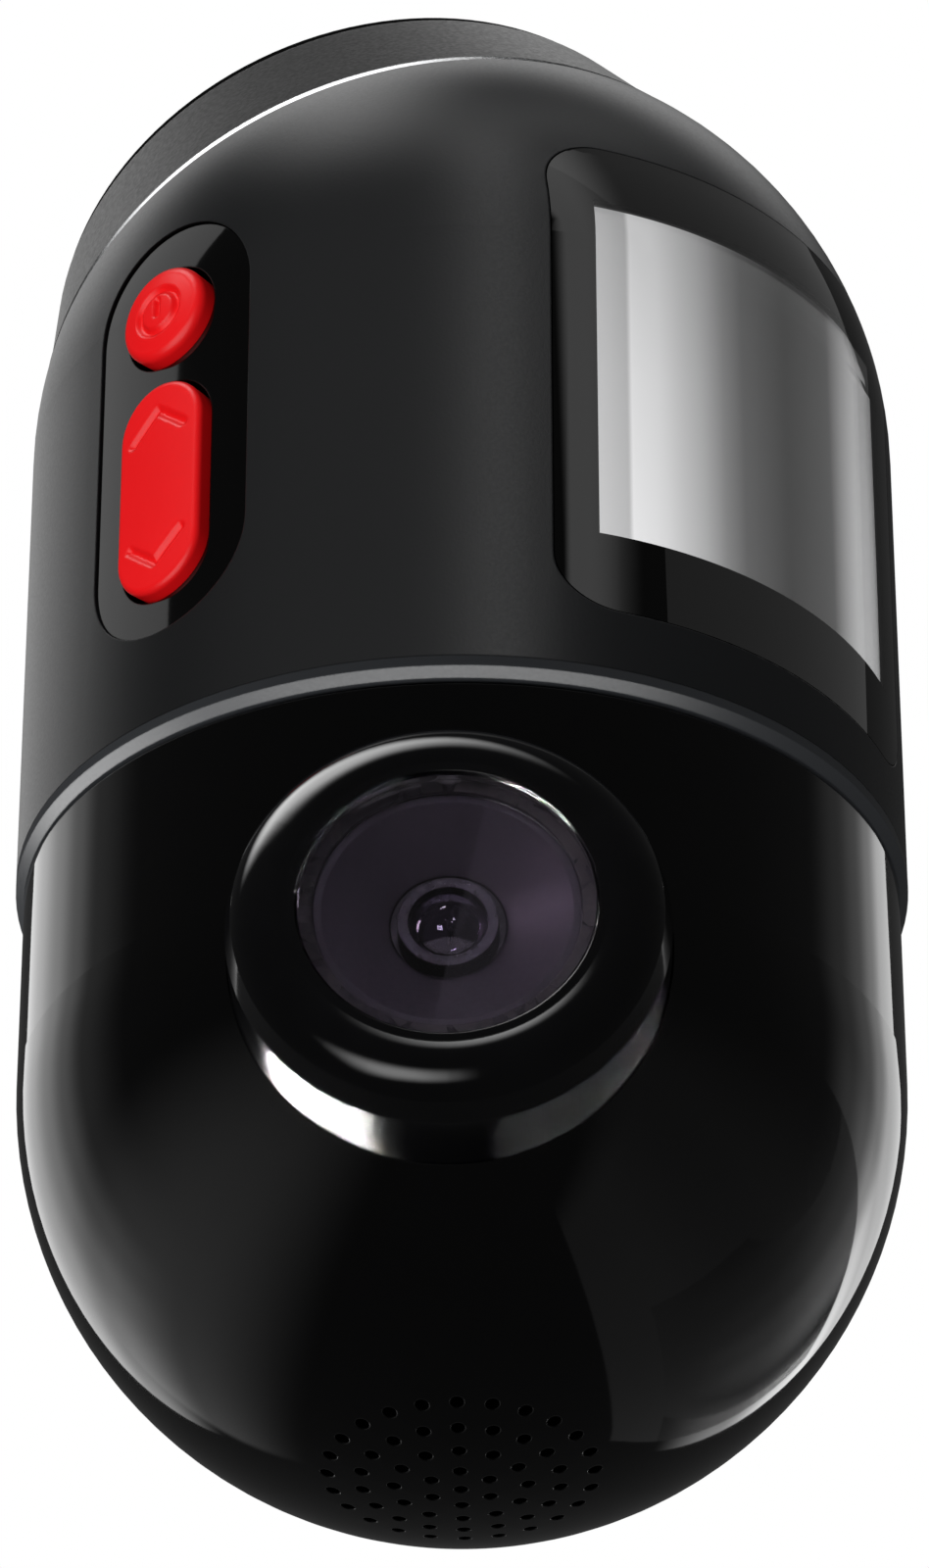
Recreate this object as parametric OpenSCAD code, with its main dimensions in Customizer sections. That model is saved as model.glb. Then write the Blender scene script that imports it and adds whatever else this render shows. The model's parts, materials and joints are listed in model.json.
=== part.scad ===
// Windscreen dash camera: a fixed upper housing with a display and buttons, a panning lower
// rotor with the lens and the speaker, and a drum that a twist lock holds the housing to.
// Millimetres, +Z up, the display faces -Y. The origin is the centre of the adhesive pad's outer face.

/* [Body] */
// Outer radius of the upper housing
body_r = 26; // [25.8:0.1:26.4]
// Wall thickness of the upper housing
wall = 2; // [1.8:0.1:2.2]
// Height of the dome's centre above the split between housing and rotor
dome_z = 31; // [30.5:0.5:33]
// Outer radius of the rotor
rotor_r = 25.5; // [25.3:0.1:25.7]
// Wall thickness of the rotor
rotor_wall = 1.8; // [1.6:0.1:2]
// Depth of the lower hemisphere's centre below the split
rotor_drop = 12.1; // [12:0.1:13]
// Gap between the housing's lower edge and the rotor
split_gap = 0.35; // [0.3:0.05:0.5]
// Height of the chamfered skirt ring
skirt_h = 1.5; // [1.3:0.1:1.7]

/* [Windscreen mount] */
// Lean of the mount's axis from the vertical, towards the windscreen
mount_tilt = 22.7; // [20:0.1:25]
// Distance from the dome's centre to the housing's flat top
top_d = 10.2; // [10:0.1:10.6]
// Distance from the dome's centre to the pad's outer face
pad_d = 20; // [20:0.1:21]
// Thickness of the adhesive pad
pad_t = 0.8; // [0.6:0.1:1]
// Radius of the drum at its pad end
drum_r = 20.75; // [20.5:0.05:21]
// Radius of the drum at the housing
drum_foot_r = 23.5; // [23.3:0.1:23.6]

/* [Display] */
// Half width of the display glass
glass_hw = 14.1; // [14:0.1:14.3]
// Height of the glass's lower edge above the split
glass_low = 5.4; // [5.2:0.1:5.8]
// Height of the glass's upper edge above the split
glass_high = 38.2; // [37.8:0.1:38.4]
// Corner radius of the glass
glass_corner = 3.4; // [3:0.1:4]
// Thickness of the glass
glass_t = 0.9; // [0.8:0.05:1]
// Half width of the clear window in the black mask
window_hw = 11.85; // [11.5:0.05:12]
// Height of the window's lower edge above the split
window_low = 10.4; // [10.2:0.1:10.8]
// Height of the window's upper edge above the split
window_high = 33.8; // [33.4:0.1:34]

/* [Buttons] */
// Angle of the button panel round the housing, from the display's direction
button_az = -85.5; // [-88:0.5:-84]
// Half width of the button panel
panel_hw = 5.85; // [5.8:0.05:5.9]
// Height of the panel's lower end above the split
panel_low = 7.3; // [7.2:0.1:7.6]
// Height of the panel's upper end above the split
panel_high = 35.6; // [35.2:0.1:35.7]
// Height of the power button's centre above the split
power_z = 29.1; // [29:0.1:29.3]
// Radius of the power button
power_r = 3.1; // [3:0.05:3.2]
// Height of the rocker's centre above the split
rocker_z = 16.95; // [16.8:0.05:17.1]
// Half length of the rocker
rocker_hl = 7.15; // [7:0.05:7.3]
// Half width of the rocker
rocker_hw = 3.1; // [3:0.05:3.3]
// How far the power button stands proud of the housing
power_proud = 0.95; // [0.7:0.05:1]
// How far the rocker stands proud of the housing
rocker_proud = 0.6; // [0.5:0.05:0.8]

/* [Lens] */
// Angle of the lens at rest, from the display's direction
lens_az = -46; // [-60:1:-30]
// Depth of the lens axis below the split
lens_drop = 15.25; // [15.1:0.05:15.4]
// Outer radius of the lens ring
ring_r = 12.1; // [12:0.05:12.15]
// Radius of the lens cover glass
cover_r = 8.05; // [8:0.01:8.1]
// Distance from the rotor's axis to the cover glass's front face
cover_s = 27.4; // [27.2:0.1:27.5]

/* [Speaker grille] */
// Radius of one grille hole
grille_hole_r = 0.4; // [0.3:0.05:0.5]
// Distance between the rings of grille holes
grille_pitch = 1.85; // [1.8:0.05:2]
// How far the grille and the speaker sit from the body's axis, towards the lens
grille_shift = 1.7; // [1.5:0.1:2]

/* [Pan drive] */
// Module of the gear teeth
gear_m = 0.5; // [0.5:0.5:0.5]
// Teeth on the drive gear
gear_teeth = 56; // [56:1:56]
// Teeth on the pinion
pinion_teeth = 16; // [16:1:16]

/* [Hidden] */
$fn = 96;
fit = 0.05;
skin = 0.02;
inner_r = body_r - wall;
rotor_inner_r = rotor_r - rotor_wall;
rotor_z = -rotor_drop;
lens_z = -lens_drop;
pad_y = pad_d * sin(mount_tilt);
pad_z = dome_z + pad_d * cos(mount_tilt);
far = 60;
top_t = 1.8;
drum_gap = 0.3;
trim_t = 0.4;
drum_foot_d = top_d + drum_gap + trim_t;
drum_d = pad_d - pad_t;
drum_wall = 2.2;
drum_top_t = 1.8;
lug_count = 4;
lug_angle = 36;
lug_t = 1.5;
lug_in_r = 9.4;
collar_r = 12.3;
collar_t = 1.7;
collar_d = top_d + 2.1;
glass_r = body_r - glass_t;
mask_r = glass_r - skin;
mask_t = 0.3;
seat_r = mask_r - mask_t - skin;
seat_w = 1.2;
bezel_r = body_r - 0.15;
bezel_back_r = 24.5;
bezel_seat_w = 0.5;
engrave_t = 0.35;
power_ring_r = 1.6;
power_ring_w = 0.4;
arrow_hw = 1.95;
arrow_h = 1.6;
arrow_w = 0.75;
button_gap = 0.3;
pin_y = -23.6;
pin_r = 0.5;
deck_low = 1.9;
deck_high = 3.5;
deck_r = 23.6;
boss_ring_r = 21.2;
boss_r = 2.2;
boss_azs = [35, 145, -90];
rotor_deck_low = -2.6;
rotor_deck_high = -1;
rotor_boss_azs = [90, 180, 270];
rotor_boss_ring_r = 20.9;
screw_r = 0.8;
screw_head_r = 1.6;
screw_head_h = 0.8;
spindle_r = 5.95;
bush_r = 6;
gear_distance = gear_m * (gear_teeth + pinion_teeth) / 2;
stop_ring_r = 12.2;
stop_r = 1;
cover_t = 0.8;
skirt_low = 0.3;
skirt_bevel_w = 0.5;
skirt_bevel_h = 0.55;
ring_back_s = 16.5;
ring_seat_s = 26.35;
board_t = 1.2;
boss_h = 4;
rotor_boss_h = 5;
mesh_t = 0.3;
usb_z = 20;
card_z = 25;
mic_z = 26;
mic_az = 158;
lcd_hw = 12.3;
lcd_low = 9.6;
lcd_high = 34.6;
switch_zs = [power_z, rocker_z + 5, rocker_z - 5];
power_board_z = 10.4;
post_points = [[-12.5, -6.5], [10.5, -6.5], [-12.5, 10.5], [10.5, 10.5]];
speaker_low = -32.7;

// ---------- frames ----------

// Moves the camera so that the pad's centre is the origin
module placed() {
    translate([0, -pad_y, -pad_z]) children();
}

// Local Z is the distance from the dome's centre along the mount's axis
module mount_frame() {
    translate([0, 0, dome_z]) rotate([-mount_tilt, 0, 0]) children();
}

// Local -Y points outwards at this angle round the body
module facing(az) {
    rotate([0, 0, az]) children();
}

// Local Z is the distance from the rotor's axis along the lens axis, local Y is up
module lens_frame() {
    translate([0, 0, lens_z]) facing(lens_az) rotate([90, 0, 0]) children();
}

// ---------- shared shapes ----------

// Solid of the domed housing at radius r, from height low up
module dome_solid(r, low) {
    rotate_extrude() {
        translate([0, low]) square([r, dome_z - low]);
        intersection() {
            translate([0, dome_z]) circle(r);
            translate([0, dome_z]) square([r, r]);
        }
    }
}

// Solid of the rotor's cup at radius r, up to height high
module cup_solid(r, high) {
    rotate_extrude() {
        translate([0, rotor_z]) square([r, high - rotor_z]);
        intersection() {
            translate([0, rotor_z]) circle(r);
            translate([0, rotor_z - r]) square([r, r]);
        }
    }
}

// Everything beyond distance d along the mount's axis
module beyond(d) {
    mount_frame() translate([-far, -far, d]) cube([2 * far, 2 * far, 2 * far]);
}

// Rectangle with rounded corners, from -hw to hw and from low to high
module rounded_outline(hw, low, high, r) {
    translate([-hw + r, low]) square([2 * (hw - r), high - low]);
    translate([-hw, low + r]) square([2 * hw, high - low - 2 * r]);
    for (x = [-hw + r, hw - r], z = [low + r, high - r]) translate([x, z]) circle(r);
}

// Upright outline with full round ends
module stadium_outline(hw, low, high) {
    translate([-hw, low + hw]) square([2 * hw, high - low - 2 * hw]);
    for (z = [low + hw, high - hw]) translate([0, z]) circle(hw);
}

// Extrudes an outline in X and Z along Y, from y_front to y_back
module along_y(y_front, y_back) {
    translate([0, y_back, 0]) rotate([90, 0, 0]) linear_extrude(y_back - y_front) children();
}

// Tube along Z
module tube(r_out, r_in, h) {
    difference() {
        cylinder(h = h, r = r_out);
        translate([0, 0, -1]) cylinder(h = h + 2, r = r_in);
    }
}

// Box given by its low and high corners
module block(low, high) {
    translate(low) cube(high - low);
}

// Screw with its head's underside at z = 0 and its shank below
module screw(length) {
    difference() {
        union() {
            translate([0, 0, -length]) cylinder(h = length, r = screw_r - fit, $fn = 24);
            cylinder(h = screw_head_h, r = screw_head_r, $fn = 24);
        }
        translate([-0.8, -0.2, screw_head_h - 0.4]) cube([1.6, 0.4, 1]);
        translate([-0.2, -0.8, screw_head_h - 0.4]) cube([0.4, 1.6, 1]);
    }
}

// Involute angle in degrees for the pressure angle a
function involute(a) = tan(a) * 180 / PI - a;

// Half the angle of a tooth at radius r, with a little backlash
function tooth_half(n, r) =
    let (base = gear_m * n / 2 * cos(20))
    90 / n - 20 / n * gear_m + involute(20) - involute(acos(min(1, base / r)));

function polar(r, a) = [r * cos(a), r * sin(a)];

// Outline of a spur gear with n teeth, the first tooth centred on angle phase
function gear_outline(n, phase) =
    let (pitch_r = gear_m * n / 2, root = pitch_r - 1.25 * gear_m, tip = pitch_r + 0.95 * gear_m)
    let (base = max(root + 0.05, pitch_r * cos(20) + 0.01), middle = (base + tip) / 2, step = 360 / n)
    [for (k = [0:n - 1]) let (a = phase + k * step) each [
        polar(root, a - tooth_half(n, base)),
        polar(base, a - tooth_half(n, base)),
        polar(middle, a - tooth_half(n, middle)),
        polar(tip, a - tooth_half(n, tip)),
        polar(tip, a + tooth_half(n, tip)),
        polar(middle, a + tooth_half(n, middle)),
        polar(base, a + tooth_half(n, base)),
        polar(root, a + tooth_half(n, base))
    ]];

// ---------- windscreen mount ----------

// Pie slice from -angle / 2 to angle / 2
module sector(angle, r) {
    polygon([[0, 0], for (k = [-2:2]) polar(r, k * angle / 4)]);
}

module mount_drum() {
    cavity_r = drum_r - drum_wall;
    cavity_d = drum_d - drum_top_t;
    low = drum_foot_d - 1;
    placed() mount_frame() color("#17181a") difference() {
        rotate_extrude() difference() {
            polygon([[0, drum_foot_d], [drum_foot_r, drum_foot_d], [drum_r, drum_d], [0, drum_d]]);
            translate([0, low]) square([cavity_r, collar_d - low]);
            translate([collar_r + collar_t, low]) square([cavity_r - collar_r - collar_t, cavity_d - low]);
            translate([0, low]) square([lug_in_r, collar_d + lug_t - low + 1]);
            translate([0, collar_d + lug_t]) square([collar_r, cavity_d - collar_d - lug_t]);
        }
        // Gaps between the collar's lugs
        for (k = [0:lug_count - 1]) rotate([0, 0, (k + 0.5) * 360 / lug_count])
            translate([0, 0, collar_d - 1]) linear_extrude(lug_t + 1.3) intersection() {
                circle(collar_r + 0.3);
                sector(360 / lug_count - lug_angle, 2 * collar_r);
            }
    }
}

module trim_ring() {
    placed() mount_frame() color("#c9cbce") translate([0, 0, top_d + drum_gap])
        tube(drum_foot_r + 0.15, drum_r - 0.2, trim_t);
}

module adhesive_pad() {
    placed() mount_frame() color("#0d0d0e") translate([0, 0, drum_d])
        cylinder(h = pad_t, r = drum_r - 0.35);
}

module bayonet_plate() {
    lug_low = top_d + 3.8;
    placed() mount_frame() color("#34363a") {
        difference() {
            union() {
                translate([0, 0, top_d]) cylinder(h = 1, r = 13);
                translate([0, 0, top_d]) cylinder(h = 5.6, r = 9);
                for (k = [0:lug_count - 1]) rotate([0, 0, k * 360 / lug_count - lug_angle / 2])
                    translate([0, 0, lug_low]) rotate_extrude(angle = lug_angle)
                        translate([8.5, 0]) square([3, 1.2]);
            }
            translate([0, 0, top_d + 1.2]) cylinder(h = 6, r = 7.4);
            for (a = [45:90:315]) rotate([0, 0, a]) translate([11, 0, top_d - 1])
                cylinder(h = 3, r = screw_r + fit, $fn = 24);
        }
    }
}

module bayonet_screws() {
    placed() mount_frame() color("#a9abae")
        for (a = [45:90:315]) rotate([0, 0, a]) translate([11, 0, top_d + 1]) screw(2.6);
}

// ---------- upper housing ----------

module usb_outline(grow) {
    for (x = [-2.84, 2.84]) translate([x, 0]) circle(1.63 + grow, $fn = 48);
    translate([-2.84, -1.63 - grow]) square([5.68, 3.26 + 2 * grow]);
}

module upper_shell() {
    placed() color("#2b2d30") difference() {
        union() {
            difference() {
                dome_solid(body_r, skirt_h);
                difference() {
                    dome_solid(inner_r, skirt_h - 1);
                    beyond(top_d - top_t);
                }
                beyond(top_d);
            }
            for (az = boss_azs) facing(az) {
                translate([0, -boss_ring_r, deck_high]) cylinder(h = boss_h, r = boss_r, $fn = 48);
                block([-1.2, -inner_r - 0.5, deck_high], [1.2, -boss_ring_r, deck_high + boss_h]);
            }
        }
        // Pocket for the glass, and the opening behind it
        difference() {
            along_y(-40, -10) rounded_outline(glass_hw + fit, glass_low - fit, glass_high + fit, glass_corner);
            dome_solid(seat_r, 0);
        }
        along_y(-40, -10) rounded_outline(
            glass_hw - seat_w, glass_low + seat_w, glass_high - seat_w, glass_corner - seat_w);
        // Pocket for the button panel, and the opening behind it
        facing(button_az) difference() {
            along_y(-40, -15) stadium_outline(panel_hw + fit, panel_low - fit, panel_high + fit);
            dome_solid(bezel_back_r - fit, 0);
        }
        facing(button_az) along_y(-40, -15) stadium_outline(
            panel_hw - bezel_seat_w, panel_low + bezel_seat_w, panel_high - bezel_seat_w);
        // Inlet, card slot and sound hole
        facing(180) translate([0, 0, usb_z]) along_y(-40, -20) usb_outline(0.2);
        facing(90) along_y(-40, -20) translate([-0.8, card_z - 6]) square([1.6, 12]);
        facing(mic_az) translate([0, 0, mic_z]) rotate([90, 0, 0]) cylinder(h = 40, r = 0.5, $fn = 24);
        // Screw holes
        for (az = boss_azs) facing(az) translate([0, -boss_ring_r, deck_high - 1])
            cylinder(h = 4.5, r = screw_r, $fn = 24);
        mount_frame() for (a = [45:90:315]) rotate([0, 0, a]) translate([11, 0, top_d - 5])
            cylinder(h = 9, r = screw_r, $fn = 24);
    }
}

module skirt_ring() {
    placed() color("#3a3c40") rotate_extrude() polygon([
        [inner_r - 0.1, skirt_low],
        [body_r - skirt_bevel_w, skirt_low],
        [body_r, skirt_low + skirt_bevel_h],
        [body_r, skirt_h],
        [inner_r - 0.1, skirt_h]
    ]);
}

module display_glass() {
    placed() color("#101113", 0.8) intersection() {
        difference() {
            dome_solid(body_r, 0);
            dome_solid(glass_r, -1);
        }
        along_y(-40, -10) rounded_outline(glass_hw, glass_low, glass_high, glass_corner);
    }
}

module display_mask() {
    placed() color("#050505") intersection() {
        difference() {
            dome_solid(mask_r, 0);
            dome_solid(mask_r - mask_t, -1);
        }
        along_y(-40, -10) difference() {
            rounded_outline(glass_hw - 0.1, glass_low + 0.1, glass_high - 0.1, glass_corner);
            translate([-window_hw, window_low]) square([2 * window_hw, window_high - window_low]);
        }
    }
}

module lcd_panel() {
    placed() color("#8d9094") block([-lcd_hw, -20.7, lcd_low], [lcd_hw, -19.3, lcd_high]);
}

module lcd_backlight() {
    placed() color("#e6e7e3") block([-lcd_hw, -19.3, lcd_low], [lcd_hw, -17.9, lcd_high]);
}

module lcd_frame() {
    placed() color("#5d6064") difference() {
        block([-lcd_hw - 1, -19.2, lcd_low - 1], [lcd_hw + 1, -17, lcd_high + 1]);
        block([-lcd_hw - 0.1, -30, lcd_low - 0.1], [lcd_hw + 0.1, -17.9, lcd_high + 0.1]);
        block([-6, -30, 15], [6, -10, 29]);
    }
}

module button_bezel() {
    placed() facing(button_az) color("#0a0a0b") difference() {
        union() {
            intersection() {
                difference() {
                    dome_solid(bezel_r, 0);
                    dome_solid(bezel_back_r, -1);
                }
                along_y(-40, -15) stadium_outline(panel_hw, panel_low, panel_high);
            }
            for (x = [-5.2, 4]) block([x, -24.6, rocker_z - 1.3], [x + 1.2, -22.6, rocker_z + 1.3]);
        }
        along_y(-40, -15) translate([0, power_z]) circle(power_r + button_gap);
        along_y(-40, -23.9) stadium_outline(
            rocker_hw + button_gap, rocker_z - rocker_hl - button_gap, rocker_z + rocker_hl + button_gap);
        translate([-10, pin_y, rocker_z]) rotate([0, 90, 0]) cylinder(h = 20, r = pin_r + 0.02, $fn = 32);
    }
}

module rocker_pin() {
    placed() facing(button_az) color("#b9bbbe")
        translate([-5.15, pin_y, rocker_z]) rotate([0, 90, 0]) cylinder(h = 10.3, r = pin_r, $fn = 32);
}

module button_board() {
    placed() facing(button_az) color("#1d5a34")
        block([-6, -20, 9], [6, -20 + board_t, 34]);
}

module tact_switches() {
    placed() facing(button_az) color("#c4c6c9") for (z = switch_zs) {
        block([-2.2, -21.4, z - 2.2], [2.2, -20, z + 2.2]);
        along_y(-21.9, -21.3) translate([0, z]) circle(1.2, $fn = 32);
    }
}

module main_board() {
    placed() color("#1d5a34") difference() {
        block([-16, -16.2, 8], [16, -15, 37]);
        for (x = [-13.5, 13.5], z = [10.5, 34]) along_y(-20, -10) translate([x, z]) circle(0.9, $fn = 24);
    }
}

module processor() {
    placed() color("#222326") {
        block([-6.5, -15, 15.5], [6.5, -13.8, 28.5]);
        block([8.5, -15, 12], [14.5, -14, 22]);
        block([-14, -15, 24], [-8.5, -14, 30]);
    }
}

module heat_sink() {
    placed() color("#b4b7ba") {
        block([-8, -13.8, 14], [8, -12.6, 30]);
        for (x = [-8:3.04:7.3]) block([x, -12.8, 14], [x + 0.8, -9.5, 30]);
    }
}

module power_board() {
    placed() color("#1d5a34") difference() {
        block([-14, -8, power_board_z], [12, 12, power_board_z + board_t]);
        for (p = post_points) translate([p[0], p[1], 0]) cylinder(h = 20, r = 0.85, $fn = 24);
    }
}

module supercapacitors() {
    placed() color("#22365c") for (x = [-6.5, 3.5])
        translate([x, 3, power_board_z + board_t]) cylinder(h = 18, r = 4.25, $fn = 64);
}

module satellite_antenna() {
    placed() mount_frame() color("#cfc9b4")
        block([-7.5, -7.5, top_d - top_t - 4], [7.5, 7.5, top_d - top_t]);
}

module inlet_board() {
    placed() color("#1d5a34") block([-9, 16.7, 13], [9, 17.9, 30]);
}

module usb_c_socket() {
    placed() facing(180) translate([0, 0, usb_z]) color("#c9cbce") {
        along_y(-25.2, -17.9) difference() {
            usb_outline(0);
            usb_outline(-0.3);
        }
        along_y(-18.7, -17.9) usb_outline(-0.2);
        block([-3.35, -24.4, -0.35], [3.35, -18.3, 0.35]);
    }
}

module card_board() {
    placed() facing(90) color("#1d5a34") block([0.9, -22.5, 16.5], [2.1, -8.8, 33]);
}

module card_socket() {
    placed() facing(90) color("#c9cbce") difference() {
        block([-0.9, -23.3, card_z - 7.1], [0.9, -9.2, card_z + 7.1]);
        block([-0.5, -30, card_z - 5.6], [0.5, -10.5, card_z + 5.6]);
    }
}

module microphone() {
    placed() facing(mic_az) color("#b4b7ba") translate([0, 0, mic_z])
        along_y(-23.7, -21.2) circle(2, $fn = 48);
}

// ---------- bearing and drive, on the housing ----------

module bearing_deck() {
    placed() color("#54575b") difference() {
        union() {
            translate([0, 0, deck_low]) cylinder(h = deck_high - deck_low, r = deck_r);
            for (p = post_points) translate([p[0], p[1], deck_high - 0.1])
                cylinder(h = power_board_z - deck_high + 0.1, r = 1.3, $fn = 32);
            for (p = post_points) translate([p[0], p[1], deck_high])
                cylinder(h = power_board_z - deck_high + board_t, r = 0.75, $fn = 24);
            facing(0) translate([0, -stop_ring_r, deck_low - 0.9]) cylinder(h = 1, r = stop_r, $fn = 32);
        }
        translate([0, 0, -5]) cylinder(h = 20, r = 8.5 + fit);
        translate([gear_distance, 0, -5]) cylinder(h = 20, r = 1.1, $fn = 32);
        for (az = boss_azs) facing(az) translate([0, -boss_ring_r, 0]) cylinder(h = 10, r = screw_r + fit, $fn = 24);
    }
}

module deck_screws() {
    placed() color("#a9abae") for (az = boss_azs)
        facing(az) translate([0, -boss_ring_r, deck_low]) mirror([0, 0, 1]) screw(5);
}

module bearing_bush() {
    placed() color("#e7e4da") difference() {
        union() {
            translate([0, 0, 1.2]) cylinder(h = 2.4, r = 8.5);
            translate([0, 0, deck_high]) cylinder(h = 0.7, r = 10);
        }
        cylinder(h = 10, r = bush_r);
    }
}

module pan_motor() {
    placed() translate([gear_distance, 0, deck_high]) color("#9da0a4") difference() {
        union() {
            cylinder(h = 11, r = 4.8);
            cylinder(h = 11.8, r = 1.5, $fn = 32);
            block([-6.5, -1.8, 0], [0, 1.8, 0.8]);
        }
        translate([0, 0, -1]) cylinder(h = 3, r = 0.8, $fn = 32);
    }
}

// Flat cable wound in a slack spiral round the spindle, which lets the rotor turn between its stops
module ribbon_coil() {
    turns = 2.5;
    inner = 6.7;
    pitch = 1.4;
    thick = 0.3;
    steps = 75;
    placed() color("#b98a4a") translate([0, 0, 5.4]) linear_extrude(3.6) polygon(concat(
        [for (i = [0:steps]) polar(inner + pitch * turns * i / steps, 360 * turns * i / steps)],
        [for (i = [steps:-1:0]) polar(inner + thick + pitch * turns * i / steps, 360 * turns * i / steps)]
    ));
}

// ---------- rotor ----------

// Moves children from the body's axis to the speaker's, local -Y towards the lens
module speaker_place() {
    facing(lens_az) translate([0, -grille_shift, 0]) children();
}

module rotor_shell() {
    placed() color("#08080a") difference() {
        union() {
            difference() {
                cup_solid(rotor_r, skirt_low - split_gap);
                cup_solid(rotor_inner_r, 5);
            }
            for (a = rotor_boss_azs) facing(lens_az + a) {
                translate([0, -rotor_boss_ring_r, rotor_deck_low - rotor_boss_h])
                    cylinder(h = rotor_boss_h, r = boss_r, $fn = 48);
                block([-1.2, -rotor_inner_r - 0.5, rotor_deck_low - rotor_boss_h],
                    [1.2, -rotor_boss_ring_r, rotor_deck_low]);
            }
        }
        lens_frame() translate([0, 0, 10]) cylinder(h = 30, r = ring_r + fit);
        for (a = rotor_boss_azs) facing(lens_az + a)
            translate([0, -rotor_boss_ring_r, rotor_deck_low - rotor_boss_h + 0.8])
            cylinder(h = 10, r = screw_r, $fn = 24);
        // Speaker holes: a centre hole and four rings
        speaker_place() translate([0, 0, rotor_z - rotor_r - 2]) cylinder(h = 8, r = grille_hole_r, $fn = 16);
        speaker_place() for (ring = [1:4]) for (k = [0:6 * ring - 1])
            facing(60 * k / ring) translate([0, -ring * grille_pitch, rotor_z - rotor_r - 2])
                cylinder(h = 8, r = grille_hole_r, $fn = 16);
    }
}

module lens_ring() {
    crease_r = ring_r - 0.4;
    crease_s = 26.4;
    face_r = 2.55;
    face_mid_r = 9.45;
    face_mid_s = 25.2;
    rim_s = 27.65;
    placed() lens_frame() color("#0b0b0d") rotate_extrude() difference() {
        union() {
            polygon([
                [7.3, ring_back_s],
                [ring_r, ring_back_s],
                [ring_r, 24.8],
                [crease_r, crease_s],
                [7.3, crease_s]
            ]);
            intersection() {
                translate([face_mid_r, face_mid_s]) circle(face_r);
                translate([7.3, face_mid_s]) square([crease_r - 7.3, 4]);
            }
            translate([7.3, face_mid_s]) square([face_mid_r - 7.3, rim_s - face_mid_s]);
        }
        translate([0, ring_back_s - 1]) square([ring_r - 1.3, 24.4 - ring_back_s + 1]);
        translate([0, ring_seat_s]) square([cover_r + 0.15, 5]);
    }
}

module lens_cover_glass() {
    placed() lens_frame() color("#241c2b", 0.6) translate([0, 0, cover_s - cover_t])
        cylinder(h = cover_t, r = cover_r);
}

module glass_gasket() {
    placed() lens_frame() color("#0b0b0b") translate([0, 0, ring_seat_s])
        tube(cover_r, 7.3, cover_s - cover_t - ring_seat_s);
}

module lens_baffle() {
    placed() lens_frame() color("#0e0b12") translate([0, 0, 24.5]) difference() {
        union() {
            cylinder(h = 1.7, r1 = 3.7, r2 = 7.25);
            translate([0, 0, 1.5]) cylinder(h = 0.3, r = 7.25);
        }
        translate([0, 0, -0.3]) cylinder(h = 2.2, r1 = 2.5, r2 = 7);
    }
}

module lens_barrel() {
    placed() lens_frame() color("#161617") difference() {
        union() {
            translate([0, 0, 12]) cylinder(h = 11.4, r = 6);
            translate([0, 0, 23.4]) cylinder(h = 1.7, r = 2.75);
        }
        translate([0, 0, 11]) cylinder(h = 9, r = 4.5);
        translate([0, 0, 19]) cylinder(h = 5, r = 1.4);
        translate([0, 0, 23.9]) cylinder(h = 4, r = 2.15);
    }
}

module front_element() {
    placed() lens_frame() color("#3d3348", 0.6) intersection() {
        translate([0, 0, 23.95]) cylinder(h = 3, r = 2.1);
        translate([0, 0, 25.4 - 3.2]) sphere(3.2);
    }
}

module rear_element() {
    placed() lens_frame() color("#54506a", 0.6) intersection() {
        translate([0, 0, 14]) cylinder(h = 5, r = 4.4);
        translate([0, 0, 18.6 - 8]) sphere(8);
    }
}

module lens_holder() {
    placed() lens_frame() color("#1d1e20") difference() {
        union() {
            translate([0, 0, 15]) cylinder(h = ring_back_s - 15, r = 12);
            translate([0, 0, 11]) cylinder(h = 5, r = 7.5);
            block([-7.5, -7.5, 9], [7.5, 7.5, 11.5]);
        }
        translate([0, 0, 10.9]) cylinder(h = 10, r = 6 + fit);
        block([-5, -5, 8], [5, 5, 11]);
    }
}

module infrared_filter() {
    placed() lens_frame() color("#6b7f9a", 0.6) translate([0, 0, 11.1]) cylinder(h = 0.5, r = 5, $fn = 48);
}

module image_sensor() {
    placed() lens_frame() color("#2a2a44") block([-4, -3.2, 8.8], [4, 3.2, 10]);
}

module sensor_board() {
    placed() lens_frame() color("#1d5a34") block([-9, -9, 7.6], [9, 9, 8.8]);
}

// Flat cable from the sensor board up through the hollow spindle
module sensor_cable() {
    placed() facing(lens_az) color("#b98a4a") {
        block([-2.5, -7.6, -9.2], [2.5, -2.5, -8.9]);
        block([-2.5, -2.5, -9.2], [2.5, -2.2, 8.6]);
    }
}

module speaker_frame() {
    placed() speaker_place() color("#3b3d40") translate([0, 0, speaker_low]) difference() {
        cylinder(h = 3, r = 8.6);
        translate([0, 0, -1]) cylinder(h = 2.6, r = 7.6);
        translate([0, 0, 1]) cylinder(h = 5, r = 3.6);
    }
}

module speaker_cone() {
    placed() speaker_place() color("#1a1a1b") translate([0, 0, speaker_low + 0.2]) difference() {
        cylinder(h = 1.2, r1 = 7.5, r2 = 3.5);
        translate([0, 0, -0.3]) cylinder(h = 1.2, r1 = 7.5, r2 = 3.5);
    }
}

module speaker_magnet() {
    placed() speaker_place() color("#8c8f93") translate([0, 0, speaker_low + 3]) cylinder(h = 2.2, r = 5);
}

module speaker_gasket() {
    placed() color("#202020") difference() {
        intersection() {
            cup_solid(rotor_inner_r - mesh_t - fit, rotor_z + 1);
            speaker_place() translate([0, 0, speaker_low - 6]) cylinder(h = 6, r = 8.6);
        }
        speaker_place() translate([0, 0, speaker_low - 8]) cylinder(h = 10, r = 7.6);
    }
}

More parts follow.
